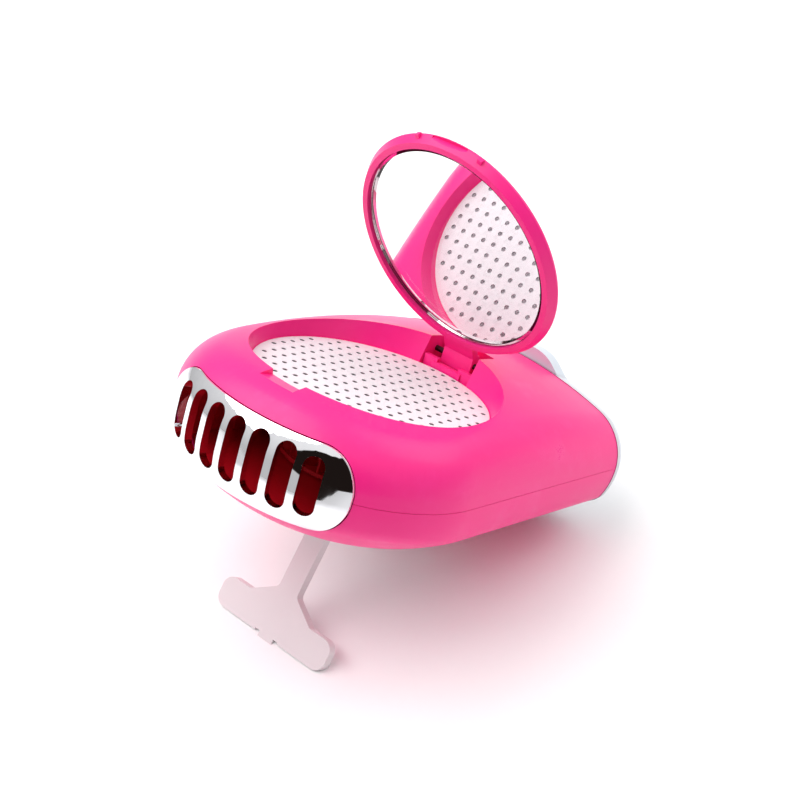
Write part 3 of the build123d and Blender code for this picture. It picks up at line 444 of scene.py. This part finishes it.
clear_glass = Finish("clear_glass", Roughness=0.0, Transmission_Weight=1.0, IOR=1.5)
glass_cloud = clear_glass.noise(14.0, detail=4.0)
clear_glass.set("Base Color", clear_glass.mix(glass_cloud, glass_tint, glass_faint))

silvering = Finish("silvering", Metallic=1.0)
silver_cloud = silvering.noise(14.0, detail=4.0)
silvering.set("Base Color", silvering.mix(silver_cloud, silver, silver_soft))
silvering.set("Roughness", silvering.between(silver_cloud, 0.5, 0.9, 0.0, 0.02))

smooth_copy("mirror_glass", glass_crease, clear_glass)

lid_pin = Matrix.Translation((0, lid_pin_y / 1000, lid_pin_z / 1000))
lid_open = lid_pin @ Matrix.Rotation(math.radians(-lid_open_angle), 4, "X") @ lid_pin.inverted()
silver_bm = bmesh.new()
bmesh.ops.create_circle(silver_bm, cap_ends=True, radius=silver_radius / 1000, segments=160)
bmesh.ops.reverse_faces(silver_bm, faces=silver_bm.faces)
bmesh.ops.translate(silver_bm, verts=silver_bm.verts, vec=(0, 0, silver_height / 1000))
silver_bm.transform(stand_up @ lid_open)
silver_mesh = bpy.data.meshes.new("mirror_silver")
silver_bm.to_mesh(silver_mesh)
silver_bm.free()
silver_mesh.materials.append(silvering.material)
mirror_silver = bpy.data.objects.new("mirror_silver", silver_mesh)
scene.collection.objects.link(mirror_silver)
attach(mirror_silver, "lid")

pad_foam = Finish("adhesive_pad", Roughness=0.85)
pad_cells = pad_foam.noise(0.5, detail=3.0)
pad_foam.set("Base Color", pad_foam.mix(pad_cells, pad_cell, pad_pale))
pad_foam.set("Normal", pad_foam.relief(pad_cells, 0.5, 0.05))
dress("mirror_pad", pad_foam)


# Lid hinge: a pink stepped block that floors the hinge bay, and a dark drawn steel pin
# through the knuckle, seated in the shell at both ends.
pin_light = (0.07, 0.035, 0.045, 1)
pin_dark = (0.03, 0.015, 0.02, 1)

smooth_copy("hinge_block", shell_crease, pink_plastic)
dark_pin = bare_metal("blackened_pin", pin_light, pin_dark, 0.35, 0.3, (0.1, 1, 1))
dress("hinge_pin", dark_pin)


# Kickstand: a T of off-white plastic that swings on a steel pin under the body and props
# it by its foot bar.
stand_white = (0.82, 0.755, 0.775, 1)
stand_shade = (0.76, 0.695, 0.715, 1)
stand_rubbed = (0.84, 0.78, 0.79, 1)

stand_plastic = moulded_plastic("stand_plastic", stand_white, stand_shade, stand_rubbed, 0.42)
smooth_copy("kickstand", shell_crease, stand_plastic)
dress("kickstand_pin", steel)


# Base disc: a round of the same off-white plastic, screwed into the belly round the
# kickstand's well.
smooth_copy("base_plate", shell_crease, stand_plastic)
dress("base_screws", steel)


# Rear trim ring: a narrow band between the pink shells and the rear cap, plated in a chrome
# that is darker and hazier than the grille's.
ring_light = (0.60, 0.59, 0.62, 1)
ring_smoke = (0.46, 0.45, 0.49, 1)

ring_chrome = chrome_plating("ring_chrome", 0.08, ring_light, ring_smoke)
smooth_copy("rear_trim_ring", shell_crease, ring_chrome)


# Rear cap: a plastic end piece in satin silver lacquer, with a pod over its top middle
# where the lacquer lies a little thicker and smoother.
silver_lacquer = (0.70, 0.74, 0.80, 1)
silver_lacquer_deep = (0.66, 0.70, 0.76, 1)
silver_pod = (0.70, 0.78, 0.84, 1)
crest_y = 0.012
crest_height = 0.0082
length_radius = 0.312
cross_radius = 0.120

lacquer = Finish("silver_lacquer")
lacquer_cloud = lacquer.noise(8.0, detail=4.0)
lacquer_flake = lacquer.noise(0.15, detail=1.0)
body_x = lacquer.along((1, 0, 0))
body_y = lacquer.along((0, math.cos(turn), -math.sin(turn)))
body_y = body_y + (middle_y * math.cos(turn) + stand_height * math.sin(turn)) / 1000
body_z = lacquer.along((0, math.sin(turn), math.cos(turn))) + height_shift
behind_crest = body_y - crest_y
fall_rearward = behind_crest * behind_crest * (1 / (2 * length_radius))
fall_sideways = body_x * body_x * (1 / (2 * cross_radius))
dome_height = crest_height - fall_rearward - fall_sideways
on_pod = lacquer.between(body_z - dome_height, 0.0001, 0.0005)
cap_colour = lacquer.mix(lacquer_cloud, silver_lacquer, silver_lacquer_deep)
lacquer.set("Base Color", lacquer.mix(on_pod, cap_colour, silver_pod))
lacquer.set("Metallic", 0.45 - 0.45 * on_pod)
lacquer.set("Roughness", 0.26 + 0.10 * lacquer_flake + 0.06 * on_pod)
lacquer.set("Normal", lacquer.relief(lacquer_flake, 0.25, 0.008))
smooth_copy("rear_cap", shell_crease, lacquer)


# Power button: a round chrome plated cap that pushes a switch on the board through the
# rear cap.
button_chrome = chrome_plating("button_chrome", 0.12, chrome_light, chrome_smoke)
smooth_copy("power_button", shell_crease, button_chrome)


# Control board: green solder mask over copper on glass fibre, with its push switch,
# charging socket, charge light pipe and two screws.
mask_green = (0.012, 0.16, 0.055, 1)
mask_over_copper = (0.03, 0.28, 0.10, 1)
switch_black = (0.02, 0.02, 0.022, 1)
switch_grey = (0.045, 0.045, 0.05, 1)
pipe_clear = (0.80, 0.85, 0.88, 1)
pipe_milk = (0.90, 0.92, 0.93, 1)

board_mask = Finish("solder_mask", Roughness=0.28)
board_tracks = board_mask.between(board_mask.noise(2.4, detail=0.0), 0.50, 0.53)
board_weave = board_mask.noise(0.4)
board_mask.set("Base Color", board_mask.mix(board_tracks, mask_green, mask_over_copper))
board_mask.set("Normal", board_mask.relief(board_tracks + 0.1 * board_weave, 0.4, 0.04))

switch_plastic = Finish("switch_plastic", Roughness=0.55)
switch_grain = switch_plastic.noise(0.3)
switch_plastic.set("Base Color", switch_plastic.mix(switch_grain, switch_black, switch_grey))
switch_plastic.set("Normal", switch_plastic.relief(switch_grain, 0.3, 0.01))

pipe_plastic = Finish("light_pipe_plastic", Roughness=0.2, Transmission_Weight=0.6)
pipe_cloud = pipe_plastic.noise(1.0)
pipe_plastic.set("Base Color", pipe_plastic.mix(pipe_cloud, pipe_clear, pipe_milk))

nickel = bare_metal("nickel_shell", steel_light, steel_dark, 0.14, 0.6, (1, 0.2, 1))
board_looks = {
    "control_board": board_mask,
    "tact_switch": switch_plastic,
    "usb_socket": nickel,
    "light_pipe": pipe_plastic,
    "board_screws": steel,
}
for name, finish in board_looks.items():
    dress(name, finish)


# Battery: a round cell in blue shrink wrap, laid in a white cradle across the rear, with
# a sleeved lead from each end and two more from the motor to the board.
wrap_blue = (0.02, 0.11, 0.42, 1)
wrap_dark = (0.012, 0.07, 0.30, 1)
sleeve_red = (0.50, 0.012, 0.012, 1)
sleeve_dark = (0.34, 0.008, 0.008, 1)

cell_wrap = Finish("shrink_wrap", Roughness=0.3)
wrap_creases = cell_wrap.noise(3.0, detail=4.0, stretch=(0.25, 1, 1))
cell_wrap.set("Base Color", cell_wrap.mix(wrap_creases, wrap_blue, wrap_dark))
cell_wrap.set("Normal", cell_wrap.relief(wrap_creases, 0.4, 0.08))

lead_sleeve = Finish("lead_sleeve", Roughness=0.45)
sleeve_print = lead_sleeve.noise(1.5, detail=3.0)
lead_sleeve.set("Base Color", lead_sleeve.mix(sleeve_print, sleeve_red, sleeve_dark))
lead_sleeve.set("Normal", lead_sleeve.relief(sleeve_print, 0.2, 0.02))

battery_looks = {
    "battery_cell": cell_wrap,
    "battery_cradle": stand_plastic,
    "battery_leads": lead_sleeve,
    "motor_leads": lead_sleeve,
}
for name, finish in battery_looks.items():
    dress(name, finish)


# Shell screws: four bright steel screws, driven from below through the lower shell's
# bosses into the upper shell's.
dress("shell_screws", steel)
